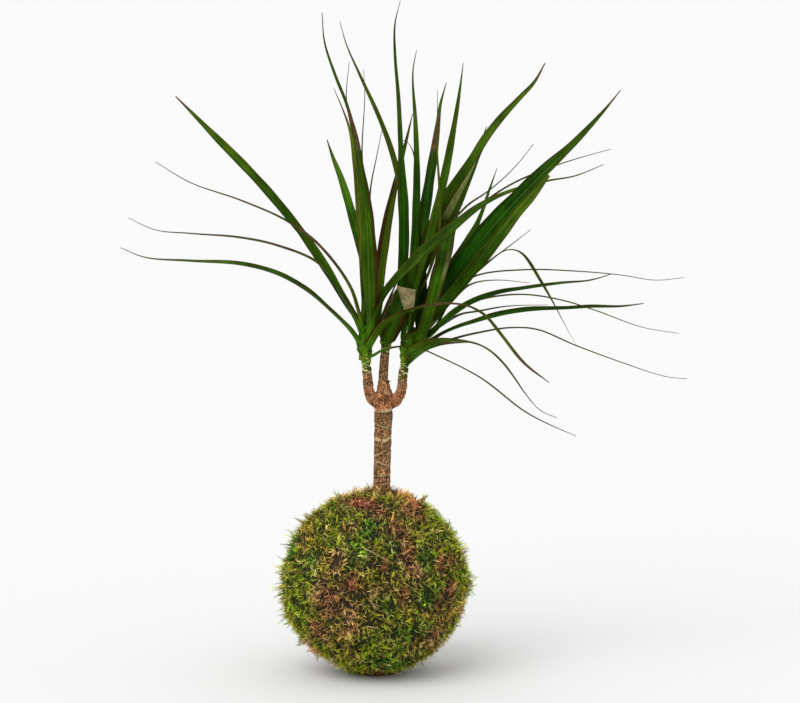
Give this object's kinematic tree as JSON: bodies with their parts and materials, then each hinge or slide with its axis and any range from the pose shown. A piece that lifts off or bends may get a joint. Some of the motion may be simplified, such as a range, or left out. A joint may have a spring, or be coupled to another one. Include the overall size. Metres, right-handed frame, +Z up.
{
  "type": "kokedama moss ball plant",
  "caption": "House plant with narrow arching leaves on a short branched cane, rooted in a moss-wrapped soil ball that rests on a small flat spot.",
  "frame": {"origin": "middle of the flat spot that the moss ball rests on", "axes": "+Z up along the cane, +X to the right in the front view, -Y towards the front"},
  "size_m": [0.4445, 0.282, 0.516],
  "materials": {
    "soil": "moist dark potting soil, matte",
    "moss": "living moss in green, yellow and brown patches",
    "thread": "thin twisted plant thread, matte",
    "bark": "ringed grey-brown bark, reddish at the knob",
    "leaf": "satin green blades with narrow red-brown margins"
  },
  "bodies": {
    "root": {"soil_core": "soil", "moss_cover": "moss", "binding_thread": "thread", "cane": "bark", "leaf_head_left": "leaf", "leaf_head_centre": "leaf", "leaf_head_right": "leaf"}
  },
  "joints": []
}
